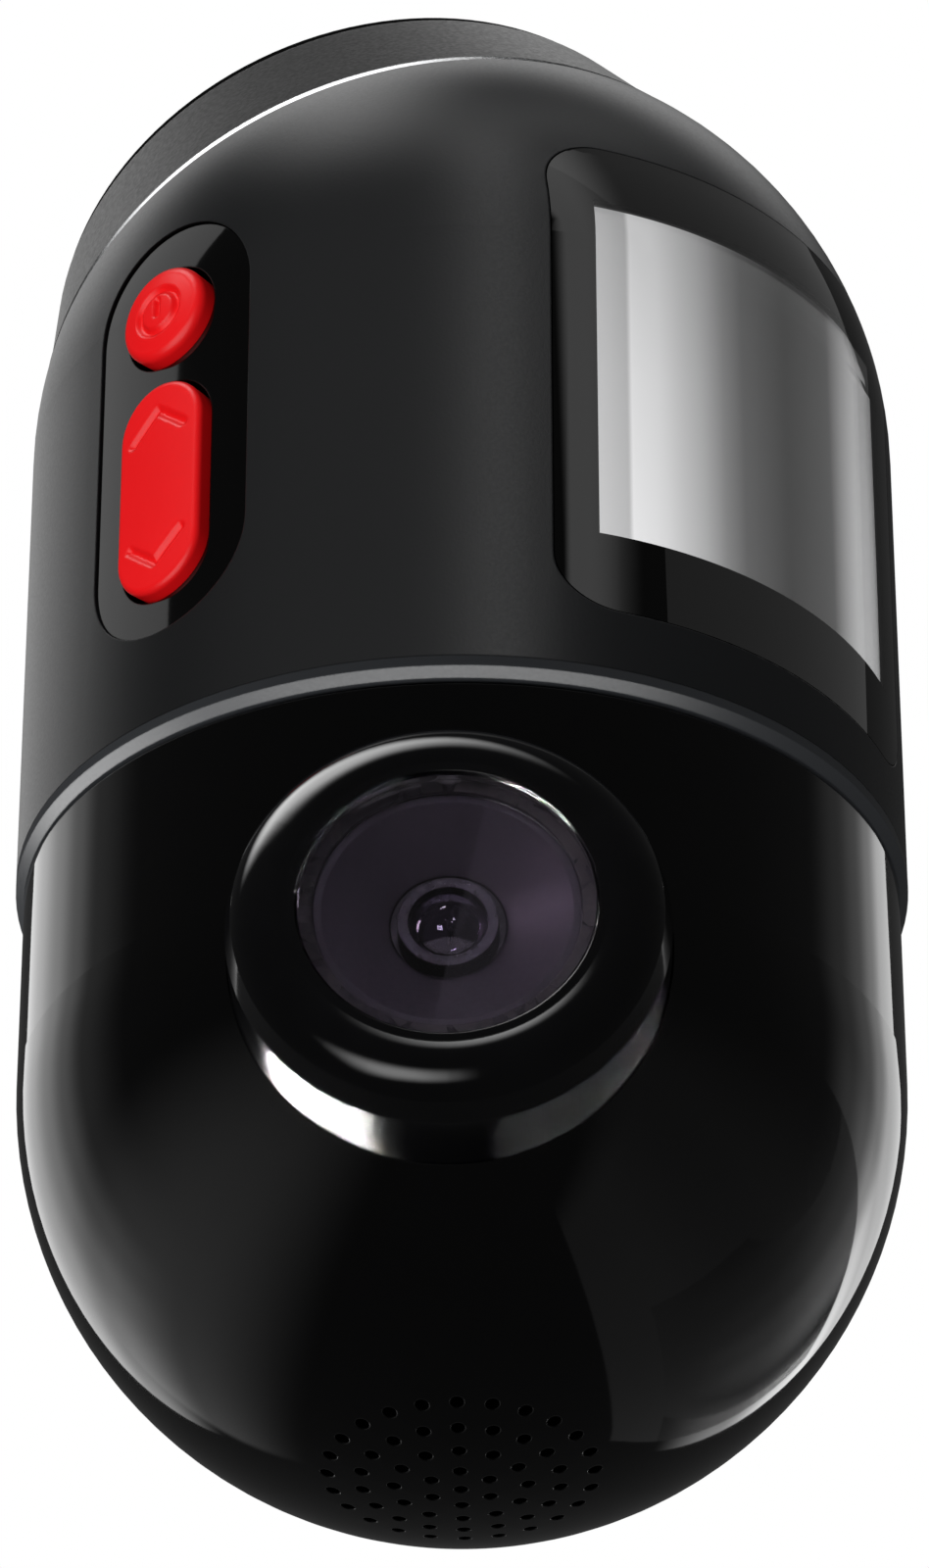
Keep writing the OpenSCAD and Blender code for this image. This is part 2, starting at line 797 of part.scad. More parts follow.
module grille_mesh() {
    placed() color("#2c2c2e") intersection() {
        difference() {
            cup_solid(rotor_inner_r - skin, rotor_z + 1);
            cup_solid(rotor_inner_r - mesh_t, rotor_z + 2);
        }
        speaker_place() translate([0, 0, rotor_z - rotor_r]) cylinder(h = 10, r = 8.6);
    }
}

module rotor_deck() {
    placed() color("#54575b") difference() {
        translate([0, 0, rotor_deck_low]) cylinder(h = rotor_deck_high - rotor_deck_low, r = rotor_inner_r - 0.2);
        translate([0, 0, -5]) cylinder(h = 10, r = spindle_r + fit);
        for (a = rotor_boss_azs) facing(lens_az + a) translate([0, -rotor_boss_ring_r, -5])
            cylinder(h = 10, r = screw_r + fit, $fn = 24);
        for (a = rotor_boss_azs) facing(lens_az + a) translate([0, -rotor_boss_ring_r, rotor_deck_high - screw_head_h])
            cylinder(h = 5, r = screw_head_r + fit, $fn = 32);
    }
}

module rotor_deck_screws() {
    placed() color("#a9abae") for (a = rotor_boss_azs) facing(lens_az + a)
        translate([0, -rotor_boss_ring_r, rotor_deck_high - screw_head_h]) screw(5);
}

module spindle() {
    placed() color("#cfd1d4") difference() {
        union() {
            translate([0, 0, rotor_deck_low - 1]) cylinder(h = 1, r = 9);
            translate([0, 0, rotor_deck_low - 0.1]) cylinder(h = 11.3, r = spindle_r);
        }
        translate([0, 0, -5]) cylinder(h = 20, r = 4.5);
        translate([0, 0, 4.32]) tube(8, 5.25, 0.66);
    }
}

module drive_gear() {
    placed() color("#dcd8cc") {
        difference() {
            translate([0, 0, rotor_deck_high]) linear_extrude(1.8) polygon(gear_outline(gear_teeth, 0));
            translate([0, 0, -5]) cylinder(h = 10, r = spindle_r + fit);
        }
        facing(lens_az) translate([0, -stop_ring_r, rotor_deck_high + 1.7]) cylinder(h = 1, r = stop_r, $fn = 32);
    }
}

module retaining_clip() {
    placed() color("#b9bbbe") translate([0, 0, 4.35]) difference() {
        tube(8, 5.3, 0.6);
        block([-2.5, 0, -1], [2.5, 10, 2]);
    }
}

module pinion() {
    placed() translate([gear_distance, 0, rotor_deck_high + 0.3]) color("#dcd8cc") difference() {
        linear_extrude(1.5) polygon(gear_outline(pinion_teeth, 180 / pinion_teeth));
        translate([0, 0, -1]) cylinder(h = 5, r = 0.75, $fn = 32);
    }
}

module motor_shaft() {
    placed() translate([gear_distance, 0, rotor_deck_high + 0.3]) color("#cfd1d4")
        cylinder(h = 5.8, r = 0.74, $fn = 32);
}

// ---------- buttons ----------

module power_button() {
    face_r = body_r + power_proud;
    placed() facing(button_az) color("#d8191c") {
        difference() {
            intersection() {
                along_y(-40, -23.9) translate([0, power_z]) circle(power_r);
                dome_solid(face_r, 0);
            }
            // Engraved ring and bar
            along_y(-40, -face_r + engrave_t) translate([0, power_z]) difference() {
                circle(power_ring_r);
                circle(power_ring_r - power_ring_w);
            }
            along_y(-40, -face_r + engrave_t) translate([-0.2, power_z - 0.4]) square([0.4, 1.45]);
        }
        along_y(-24, -23.2) translate([0, power_z]) circle(power_r + 0.7);
        along_y(-23.3, -22.4) translate([0, power_z]) circle(1.2, $fn = 32);
    }
}

// Engraved arrow head with its point at height z, opening away from dir
module chevron(z, dir) {
    along_y(-40, -body_r - rocker_proud + engrave_t) polygon([
        [0, z],
        [arrow_hw, z - dir * arrow_h],
        [arrow_hw, z - dir * (arrow_h + arrow_w)],
        [0, z - dir * arrow_w],
        [-arrow_hw, z - dir * (arrow_h + arrow_w)],
        [-arrow_hw, z - dir * arrow_h]
    ]);
}

module rocker() {
    placed() facing(button_az) color("#d8191c") difference() {
        union() {
            intersection() {
                along_y(-40, -24) stadium_outline(rocker_hw, rocker_z - rocker_hl, rocker_z + rocker_hl);
                dome_solid(body_r + rocker_proud, 0);
            }
            block([-rocker_hw, -24.1, rocker_z - 1.6], [rocker_hw, -22.7, rocker_z + 1.6]);
            for (z = [rocker_z - 5, rocker_z + 5]) along_y(-24.1, -22.45) translate([0, z]) circle(1, $fn = 32);
        }
        chevron(rocker_z + 5.6, 1);
        chevron(rocker_z - 5.6, -1);
        translate([-10, pin_y, rocker_z]) rotate([0, 90, 0]) cylinder(h = 20, r = pin_r + 0.05, $fn = 32);
    }
}

mount_drum();
trim_ring();
adhesive_pad();
upper_shell();
skirt_ring();
bayonet_plate();
bayonet_screws();
display_glass();
display_mask();
lcd_panel();
lcd_backlight();
lcd_frame();
button_bezel();
rocker_pin();
button_board();
tact_switches();
main_board();
processor();
heat_sink();
power_board();
supercapacitors();
satellite_antenna();
inlet_board();
usb_c_socket();
card_board();
card_socket();
microphone();
bearing_deck();
deck_screws();
bearing_bush();
pan_motor();
ribbon_coil();
rotor_shell();
lens_ring();
lens_cover_glass();
glass_gasket();
lens_baffle();
lens_barrel();
front_element();
rear_element();
lens_holder();
infrared_filter();
image_sensor();
sensor_board();
sensor_cable();
speaker_frame();
speaker_cone();
speaker_magnet();
speaker_gasket();
grille_mesh();
rotor_deck();
rotor_deck_screws();
spindle();
drive_gear();
retaining_clip();
pinion();
motor_shaft();
power_button();
rocker();
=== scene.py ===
import json
import math

import bpy
import numpy as np
from mathutils import Matrix, Vector, geometry


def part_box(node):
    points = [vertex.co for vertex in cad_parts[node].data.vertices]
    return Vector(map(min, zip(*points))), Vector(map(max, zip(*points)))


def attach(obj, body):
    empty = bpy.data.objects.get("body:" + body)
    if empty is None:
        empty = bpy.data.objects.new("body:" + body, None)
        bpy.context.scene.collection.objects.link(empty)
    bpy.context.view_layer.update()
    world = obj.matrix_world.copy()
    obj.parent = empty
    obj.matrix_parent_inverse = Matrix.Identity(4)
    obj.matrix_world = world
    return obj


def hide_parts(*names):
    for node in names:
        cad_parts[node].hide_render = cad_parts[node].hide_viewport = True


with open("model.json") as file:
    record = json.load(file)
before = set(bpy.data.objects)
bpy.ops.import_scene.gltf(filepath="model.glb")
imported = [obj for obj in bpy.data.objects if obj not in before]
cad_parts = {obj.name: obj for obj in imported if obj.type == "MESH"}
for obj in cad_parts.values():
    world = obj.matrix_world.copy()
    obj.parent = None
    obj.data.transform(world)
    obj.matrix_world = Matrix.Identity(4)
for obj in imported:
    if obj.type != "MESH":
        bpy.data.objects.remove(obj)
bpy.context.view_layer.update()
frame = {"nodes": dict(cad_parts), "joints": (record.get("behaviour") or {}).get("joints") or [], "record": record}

# ---------- sizes, from the frame where it gives them ----------

MM = 0.001
JOINTS = {joint["name"]: joint for joint in frame["joints"]}
SPLIT = Vector(JOINTS["lens_pan"]["pos_m"])  # on the body's axis, at the split
MOUNT_AXIS = Vector(JOINTS["mount_twist"]["axis"]).normalized()
PAD_D = -SPLIT.y / MOUNT_AXIS.y  # the pad's face is this far from the dome's centre
DOME = -PAD_D * MOUNT_AXIS  # the dome's centre
DOME_Z = DOME.z - SPLIT.z
shell_low, shell_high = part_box("upper_shell")
BODY_R = (shell_high.x - shell_low.x) / 2
EDGE_ROUNDING = 0.12 * MM  # how far the shading rounds the CAD nodes' edges

# the display's lit window, with heights above the split
WINDOW_HW = 11.85 * MM
WINDOW_LOW = 10.4 * MM
WINDOW_HIGH = 33.8 * MM


def middle(node):
    """Middle of a CAD node's box."""
    low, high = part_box(node)
    return (low + high) / 2


lens_way = middle("lens_cover_glass") - SPLIT
LENS_AZ = math.atan2(lens_way.x, -lens_way.y)  # angles round the body start at -Y, the display's side
SCENE = bpy.context.scene


# ---------- node materials ----------

class Nodes:
    """A material's node tree, with short calls for what the finishes below need."""

    def __init__(self, name, **sockets):
        self.material = bpy.data.materials.new(name)
        self.material.use_nodes = True
        self.tree = self.material.node_tree
        self.shader = self.tree.nodes["Principled BSDF"]
        for label, value in sockets.items():
            self.shader.inputs[label.replace("_", " ")].default_value = value

    def node(self, kind, **values):
        """A new node; values are its properties or the settings of its input sockets."""
        made = self.tree.nodes.new(kind)
        for label, value in values.items():
            if hasattr(made, label):
                setattr(made, label, value)
            else:
                made.inputs[label.replace("_", " ")].default_value = value
        return made

    def link(self, output, socket):
        self.tree.links.new(output, socket)

    def place(self):
        """The point being shaded, in the object's own metres."""
        return self.node("ShaderNodeTexCoord").outputs["Object"]

    def noise(self, scale, detail=3.0, stretch=(1, 1, 1)):
        """Grey noise with features 1 / scale metres across."""
        spread = self.node("ShaderNodeVectorMath", operation="MULTIPLY")
        self.link(self.place(), spread.inputs[0])
        spread.inputs[1].default_value = stretch
        noise = self.node("ShaderNodeTexNoise", Scale=scale, Detail=detail)
        self.link(spread.outputs[0], noise.inputs["Vector"])
        return noise.outputs["Fac"]

    def span(self, value, low, high, source=(0.0, 1.0)):
        """Maps a value from source to the range low to high."""
        made = self.node("ShaderNodeMapRange")
        made.inputs["From Min"].default_value = source[0]
        made.inputs["From Max"].default_value = source[1]
        made.inputs["To Min"].default_value = low
        made.inputs["To Max"].default_value = high
        self.link(value, made.inputs["Value"])
        return made.outputs["Result"]

    def colours(self, value, *stops):
        """Colour ramp over a value; each stop is a position and a colour."""
        ramp = self.node("ShaderNodeValToRGB").color_ramp
        while len(ramp.elements) < len(stops):
            ramp.elements.new(0.5)
        for element, (position, colour) in zip(ramp.elements, stops):
            element.position = position
            element.color = (*colour, 1)
        made = [n for n in self.tree.nodes if n.bl_idname == "ShaderNodeValToRGB"][-1]
        self.link(value, made.inputs["Fac"])
        return made.outputs["Color"]

    def bump(self, height, distance):
        """Relief by a height between 0 and 1, over rounded edges."""
        made = self.node("ShaderNodeBump", Strength=1, Distance=distance)
        edges = self.node("ShaderNodeBevel", samples=4, Radius=EDGE_ROUNDING)
        self.link(edges.outputs["Normal"], made.inputs["Normal"])
        self.link(height, made.inputs["Height"])
        self.link(made.outputs["Normal"], self.shader.inputs["Normal"])


# how deep the reliefs of the finishes are
WAVINESS = 0.004 * MM
MARK_DEPTH = 0.004 * MM
COPPER_DEPTH = 0.01 * MM
THREAD_DEPTH = 0.05 * MM


def shade(colour, factor):
    """The colour, darker or lighter by a factor."""
    return tuple(min(1, c * factor) for c in colour)


def grained(name, colour, roughness, grain, depth, spread=0.12, variation=0.06, **sockets):
    """Moulded or coated surface: fine grain in the relief, and slow drift in colour and gloss."""
    made = Nodes(name, **sockets)
    drift = made.noise(90, 4)
    made.link(made.colours(drift, (0.3, shade(colour, 1 - spread)), (0.7, shade(colour, 1 + spread))),
              made.shader.inputs["Base Color"])
    fine = made.noise(grain, 2)
    made.link(made.span(fine, roughness - variation, roughness + variation, (0.3, 0.7)),
              made.shader.inputs["Roughness"])
    made.bump(fine, depth)
    return made.material


def gloss_black(name, tone, roughness=0.04):
    """Polished black moulding, with the faint wipe marks that such a surface carries."""
    made = Nodes(name, Specular_IOR_Level=0.5, IOR=1.5)
    dust = made.noise(260, 5)
    made.link(made.colours(dust, (0.35, shade(tone, 0.8)), (0.75, shade(tone, 1.3))),
              made.shader.inputs["Base Color"])
    wipes = made.noise(160, 6, (1, 1, 0.25))
    made.link(made.span(wipes, roughness * 0.7, roughness * 1.5, (0.3, 0.75)),
              made.shader.inputs["Roughness"])
    made.bump(made.noise(55, 2), WAVINESS)
    return made.material


def metal(name, colour, roughness, stretch=(1, 1, 1), grain=4000):
    """Metal with drawn or turned marks along the unstretched directions."""
    made = Nodes(name, Metallic=1.0)
    marks = made.noise(grain, 3, stretch)
    made.link(made.colours(marks, (0.3, shade(colour, 0.86)), (0.7, shade(colour, 1.06))),
              made.shader.inputs["Base Color"])
    made.link(made.span(marks, roughness * 0.7, roughness * 1.3, (0.3, 0.7)),
              made.shader.inputs["Roughness"])
    made.bump(marks, MARK_DEPTH)
    return made.material


def board(name, colour):
    """Circuit board: solder mask over copper runs."""
    made = Nodes(name, Coat_Weight=0.3, Coat_Roughness=0.2)
    runs = made.node("ShaderNodeTexVoronoi", distance="CHEBYCHEV", Scale=520)
    made.link(made.place(), runs.inputs["Vector"])
    made.link(made.colours(runs.outputs["Distance"], (0.25, shade(colour, 1.7)), (0.34, colour)),
              made.shader.inputs["Base Color"])
    made.link(made.span(made.noise(900), 0.3, 0.5), made.shader.inputs["Roughness"])
    made.bump(runs.outputs["Distance"], COPPER_DEPTH)
    return made.material


def glass(name, colour, roughness, ior=1.5):
    """Clear glass with a trace of haze that drifts over it."""
    made = Nodes(name, Base_Color=(*colour, 1), Transmission_Weight=1.0, IOR=ior)
    made.link(made.span(made.noise(150, 4), roughness * 0.5, roughness * 1.5, (0.3, 0.7)),
              made.shader.inputs["Roughness"])
    return made.material


CLEAR_SHARE = 0.998  # the clear part of the display's glass ends just inside the lit window's edge


def display_glass(name):
    """The display's glass: clear over the window, and printed black from behind all round it."""
    made = Nodes(name, IOR=1.5)
    axes = made.node("ShaderNodeSeparateXYZ")
    made.link(made.place(), axes.inputs[0])
    centred = made.span(axes.outputs["Z"], -1, 1, (SPLIT.z + WINDOW_LOW, SPLIT.z + WINDOW_HIGH))
    shares = []
    for value, source in ((axes.outputs["X"], WINDOW_HW), (centred, 1)):
        size = made.node("ShaderNodeMath", operation="ABSOLUTE")
        made.link(value, size.inputs[0])
        shares.append(made.span(size.outputs[0], 0, 1, (0, source)))
    most = made.node("ShaderNodeMath", operation="MAXIMUM")
    made.link(shares[0], most.inputs[0])
    made.link(shares[1], most.inputs[1])
    clear = made.node("ShaderNodeMath", operation="LESS_THAN")
    made.link(most.outputs[0], clear.inputs[0])
    clear.inputs[1].default_value = CLEAR_SHARE
    made.link(clear.outputs[0], made.shader.inputs["Transmission Weight"])
    made.link(made.colours(clear.outputs[0], (0.0, (0.002, 0.002, 0.002)), (1.0, (0.92, 0.92, 0.92))),
              made.shader.inputs["Base Color"])
    made.link(made.span(made.noise(150, 4), 0.005, 0.015, (0.3, 0.7)), made.shader.inputs["Roughness"])
    return made.material


def fabric(name, colour):
    """Fine woven cloth: two crossed waves."""
    made = Nodes(name, Roughness=0.9)
    place = made.place()
    waves = []
    for direction in ("X", "Y"):
        wave = made.node("ShaderNodeTexWave", Scale=900, bands_direction=direction)
        made.link(place, wave.inputs["Vector"])
        waves.append(wave.outputs["Fac"])
    weave = made.node("ShaderNodeMath", operation="MULTIPLY")
    made.link(waves[0], weave.inputs[0])
    made.link(waves[1], weave.inputs[1])
    made.link(made.colours(weave.outputs[0], (0.1, shade(colour, 0.4)), (0.8, shade(colour, 1.5))),
              made.shader.inputs["Base Color"])
    made.bump(weave.outputs[0], THREAD_DEPTH)
    return made.material


# painted reflections of studio lights, glowing from the panel: brightness of the lit window across it, at shares
# of its width from the left
REFLECTION_BANDS = ((0.0, 0.53), (0.095, 0.47), (0.105, 0.8), (0.16, 0.74), (0.235, 0.52), (0.285, 0.4), (0.35, 0.2),
         (0.41, 0.09), (0.555, 0.02), (0.73, 0.035), (0.86, 0.5), (0.94, 0.6), (1.0, 0.5))
BLUER = 1.01


def lit_panel_painted_reflections(name):
    """The display's lit window, glowing with painted reflections: pale bands at its left, a step, and a soft dark
    middle, with painted shading that is brighter towards the bottom.
    """
    made = Nodes(name, Base_Color=(0.02, 0.02, 0.02, 1), Roughness=0.3, Emission_Strength=1.0)
    axes = made.node("ShaderNodeSeparateXYZ")
    made.link(made.place(), axes.inputs[0])
    across = made.span(axes.outputs["X"], 0, 1, (-WINDOW_HW, WINDOW_HW))
    up = made.span(axes.outputs["Z"], 0, 1, (SPLIT.z + WINDOW_LOW, SPLIT.z + WINDOW_HIGH))
    # painted reflections across the window
    bands = made.colours(across, *[(share, (grey, grey, grey * BLUER)) for share, grey in REFLECTION_BANDS])
    # painted shading: brighter towards the bottom, dimmer towards the top
    upright = made.colours(up, (0.0, (1.15, 1.15, 1.15)), (0.5, (1, 1, 1)), (1.0, (0.75, 0.75, 0.75)))
    mix = made.node("ShaderNodeMix", data_type="RGBA", blend_type="MULTIPLY")
    mix.inputs["Factor"].default_value = 1
    made.link(bands, mix.inputs[6])
    made.link(upright, mix.inputs[7])
    made.link(mix.outputs[2], made.shader.inputs["Emission Color"])
    return made.material


# ---------- mesh building ----------

SMOOTH_COS = math.cos(math.radians(38))  # corners of a profile that turn less than this are smooth
SAME_POINT = 1e-9  # points closer than this are one
TINY = 1e-30  # stands in for a division by zero


def blended(before, after):
    """Normals shared by two neighbouring stretches of a profile, or each its own at a sharp corner."""
    if before.dot(after) < SMOOTH_COS:
        return before, after
    both = (before + after).normalized()
    return both, both


class Solid:
    """A mesh under construction, with the exact normal of each face corner."""

    def __init__(self):
        self.points = []
        self.faces = []
        self.normals = []

    def add(self, points):
        """Adds points and returns their numbers."""
        first = len(self.points)
        self.points.extend(points)
        return list(range(first, len(self.points)))

    def face(self, corners, normals):
        """Adds a triangle or a four-sided face, turned to look the way its normals point."""
        a, b, c = (self.points[k] for k in corners[:3])
        if len(corners) == 4:
            turned = (self.points[corners[2]] - a).cross(self.points[corners[3]] - b)
        else:
            turned = (b - a).cross(c - a)
        if turned.dot(sum(normals, Vector())) < 0:
            corners, normals = corners[::-1], normals[::-1]
        self.faces.append(corners)
        self.normals.extend(normals)

    def strip(self, ring_a, ring_b, normals_a, normals_b):
        """Faces between two closed rings with the same number of points."""
        count = len(ring_a)
        for i in range(count):
            j = (i + 1) % count
            self.face([ring_a[i], ring_a[j], ring_b[j], ring_b[i]],
                      [normals_a[i], normals_a[j], normals_b[j], normals_b[i]])

    def patch(self, loop, ring, inner, place):
        """Fills a loop with triangles through the inner points, and lays them on a surface.
        ring holds the mesh points that the loop's points already are; place gives a point and its normal."""
        flat = [Vector(p) for p in loop]
        edges = [(i, (i + 1) % len(loop)) for i in range(len(loop))]
        spots = flat + [Vector(p) for p in inner]
        vertices, _, triangles, origins, _, _ = geometry.delaunay_2d_cdt(spots, edges, [], 0, SAME_POINT)
        index, normal = [], []
        for k, vertex in enumerate(vertices):
            point, direction = place(*vertex)
            old = [o for o in origins[k] if o < len(flat)]
            index.append(ring[old[0]] if old else self.add([point])[0])
            normal.append(direction)
        centres = np.array([[sum(vertices[k][axis] for k in t) / 3 for axis in (0, 1)] for t in triangles])
        for triangle, good in zip(triangles, inside(centres, loop)):
            corners = [index[k] for k in triangle]
            if good and len(set(corners)) == 3:
                self.face(corners, [normal[k] for k in triangle])

    def build(self, name, body, slot, material, replaced):
        """Makes the piece, which rides on a body and stands in for one CAD node."""
        mesh = bpy.data.meshes.new(name)
        mesh.from_pydata([tuple(p) for p in self.points], [], self.faces)
        mesh.normals_split_custom_set([tuple(n) for n in self.normals])
        mesh.materials.append(material)
        made = bpy.data.objects.new(name, mesh)
        SCENE.collection.objects.link(made)
        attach(made, body)
        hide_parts(replaced)


def inside(points, loop):
    """Which points lie inside the loop."""
    ring = np.array([tuple(p) for p in loop], float)
    after = np.roll(ring, -1, axis=0)
    x, y = points[:, 0:1], points[:, 1:2]
    crosses = (ring[None, :, 1] > y) != (after[None, :, 1] > y)
    rise = after[:, 1] - ring[:, 1]
    rise[rise == 0] = TINY
    edge_x = (after[:, 0] - ring[:, 0]) * (y - ring[:, 1]) / rise + ring[:, 0]
    return np.sum(crosses & (x < edge_x), axis=1) % 2 == 1


def clear_points(points, loop, gap):
    """The points inside the loop that keep this distance from it."""
    points = np.array(points, float)
    points = points[inside(points, loop)]
    ring = np.array([tuple(p) for p in loop], float)
    step = np.roll(ring, -1, axis=0) - ring
    length = np.maximum((step ** 2).sum(1), TINY)
    result = []
    for point in points:
        t = np.clip(((point - ring) * step).sum(1) / length, 0, 1)
        near = ring + t[:, None] * step
        if (((point - near) ** 2).sum(1)).min() > gap * gap:
            result.append(tuple(point))
    return result


# ---------- plates on the body's surface ----------

def body_surface(az, x, z, depth):
    """A point at this depth under the housing's surface, with the surface's normal and its two tangents.
    x and z are measured as seen from outside, square on to the direction az."""
    rise = max(0.0, z - DOME_Z)
    radius = math.sqrt(BODY_R ** 2 - rise ** 2)
    y = -math.sqrt(radius ** 2 - x ** 2)
    normal = Vector((x, y, rise)) / BODY_R
    point = Vector((x, y, z)) - normal * depth
    across = Vector((-y, x, 0)).normalized()
    up = normal.cross(across)
    turn = Matrix.Rotation(az, 3, "Z")
    return SPLIT + turn @ point, turn @ normal, turn @ across, turn @ up


def rounded_loop(half_width, low, high, radius, grow, arc, spacing):
    """Rounded rectangle, counter-clockwise, grown by an amount that leaves its number of points alone.
    arc is the number of steps round a corner, and spacing the distance of the points between corners."""
    middles = [(half_width - radius, low + radius), (half_width - radius, high - radius),
               (radius - half_width, high - radius), (radius - half_width, low + radius)]
    result = []
    for k, (cx, cz) in enumerate(middles):
        start = (k - 1) * math.pi / 2
        corner = [(cx + (radius + grow) * math.cos(start + math.pi / 2 * i / arc),
                   cz + (radius + grow) * math.sin(start + math.pi / 2 * i / arc)) for i in range(arc + 1)]
        nx, nz = middles[(k + 1) % 4]
        gap = math.hypot(nx - cx, nz - cz)
        if gap < SAME_POINT:
            result.extend(corner[:-1])
            continue
        result.extend(corner)
        pieces = max(1, round(gap / spacing))
        for i in range(1, pieces):
            x, z = corner[-1]
            result.append((x + (nx - cx) * i / pieces, z + (nz - cz) * i / pieces))
    return result


def loop_sides(loop):
    """Unit outward directions of a counter-clockwise loop at each of its points."""
    count = len(loop)
    result = []
    for i in range(count):
        step = Vector(loop[(i + 1) % count]) - Vector(loop[i - 1])
        result.append(Vector((step.y, -step.x)).normalized())
    return result


def rounded_edge(depth, radius, steps=6):
    """Profile points of a rounded edge, from the face at this depth to the wall."""
    result = []
    for k in range(steps + 1):
        angle = math.pi / 2 * k / steps
        result.append((-radius + radius * math.sin(angle), depth + radius - radius * math.cos(angle)))
    return result


def walls(solid, az, loop_of, profile):
    """Adds the walls round a plate; profile holds (grow, depth), from the face down to the back.
    Returns the first ring of points and the last."""
    rings, frames = [], []
    for grow, depth in profile:
        loop = loop_of(grow)
        spots = [body_surface(az, x, z, depth) for x, z in loop]
        rings.append(solid.add([s[0] for s in spots]))
        frames.append([(s[1], s[2] * d.x + s[3] * d.y) for s, d in zip(spots, loop_sides(loop))])
    slopes = []
    for (g0, d0), (g1, d1) in zip(profile, profile[1:]):
        slopes.append(Vector((d1 - d0, g1 - g0)).normalized())
    face_up, face_down = Vector((0, 1)), Vector((0, -1))

    def turned(frames_at, slope):
        return [(slope.x * side + slope.y * normal).normalized() for normal, side in frames_at]

    for k, slope in enumerate(slopes):
        before = slopes[k - 1] if k else face_up
        after = slopes[k + 1] if k + 1 < len(slopes) else face_down
        start = blended(before, slope)[1]
        end = blended(slope, after)[0]
        if k == 0 and before.dot(slope) > SMOOTH_COS:
            start = face_up
        solid.strip(rings[k], rings[k + 1], turned(frames[k], start), turned(frames[k + 1], end))
    return rings[0], rings[-1]


def grid(loop, spacing):
    """Points about this far apart over the loop's box."""
    xs = [p[0] for p in loop]
    ys = [p[1] for p in loop]
    across = max(1, int((max(xs) - min(xs)) / spacing))
    up = max(1, int((max(ys) - min(ys)) / spacing))
    return [(min(xs) + (max(xs) - min(xs)) * i / across, min(ys) + (max(ys) - min(ys)) * j / up)
            for i in range(across + 1) for j in range(up + 1)]


def plate(az, loop_of, profile, face, spacing, clear, fine_back):
    """Curved plate that lies on the body: a face, walls by profile, and a back at the last depth.
    face gives the face's point and normal. Its inner points are spacing apart, and clear times that
    from its edge; fine_back gives the back such points as well."""
    made = Solid()
    first, last = walls(made, az, loop_of, profile)
    back_depth = profile[-1][1]

    def under(x, z):
        point, normal = body_surface(az, x, z, back_depth)[:2]
        return point, -normal

    front, back = loop_of(profile[0][0]), loop_of(profile[-1][0])
    made.patch(front, first, clear_points(grid(front, spacing), front, spacing * clear), face)
    inner = clear_points(grid(back, spacing), back, spacing * clear) if fine_back else []
    made.patch(back, last, inner, under)
    return made


# ---------- finishes ----------

CHARCOAL = grained("housing_charcoal", (0.022, 0.0235, 0.026), 0.32, 5200, 0.004 * MM, 0.04, 0.03)
GLOSS = gloss_black("piano_black", (0.0025, 0.0025, 0.003))
BEZEL_GLOSS = gloss_black("bezel_black", (0.002, 0.002, 0.0022), 0.05)
RING_GLOSS = gloss_black("ring_black", (0.0025, 0.0025, 0.003), 0.07)
MOUNT_BLACK = grained("mount_black", (0.008, 0.008, 0.0085), 0.34, 3600, 0.012 * MM, 0.08, 0.05)
TRIM = metal("trim_bright", (0.86, 0.87, 0.88), 0.2, grain=6000)
FOAM = grained("pad_foam", (0.008, 0.008, 0.008), 0.85, 2600, 0.05 * MM)
RED = grained("button_red", (0.75, 0.006, 0.008), 0.34, 4200, 0.002 * MM, 0.03, 0.03,
              Specular_IOR_Level=0.25)
GLASS = display_glass("display_glass")
COVER = glass("cover_glass", (0.72, 0.66, 0.78), 0.008)
LENS_GLASS = glass("lens_glass", (0.85, 0.8, 0.95), 0.01, 1.65)
PRINT = grained("black_print", (0.003, 0.003, 0.003), 0.35, 3000, 0.001 * MM)
BAFFLE = grained("lens_baffle", (0.006, 0.0045, 0.007), 0.5, 3000, 0.004 * MM)
# the display's glow, with painted reflections and painted shading in it
LIT = lit_panel_painted_reflections("display_lit")
INNER = grained("inner_plastic", (0.05, 0.05, 0.055), 0.5, 3200, 0.008 * MM)
STEEL = metal("screw_steel", (0.62, 0.62, 0.64), 0.28)
STAMPED = metal("stamped_steel", (0.66, 0.67, 0.69), 0.3, (1, 1, 0.1))
ALLOY = metal("alloy", (0.7, 0.71, 0.73), 0.32, (1, 1, 0.15))

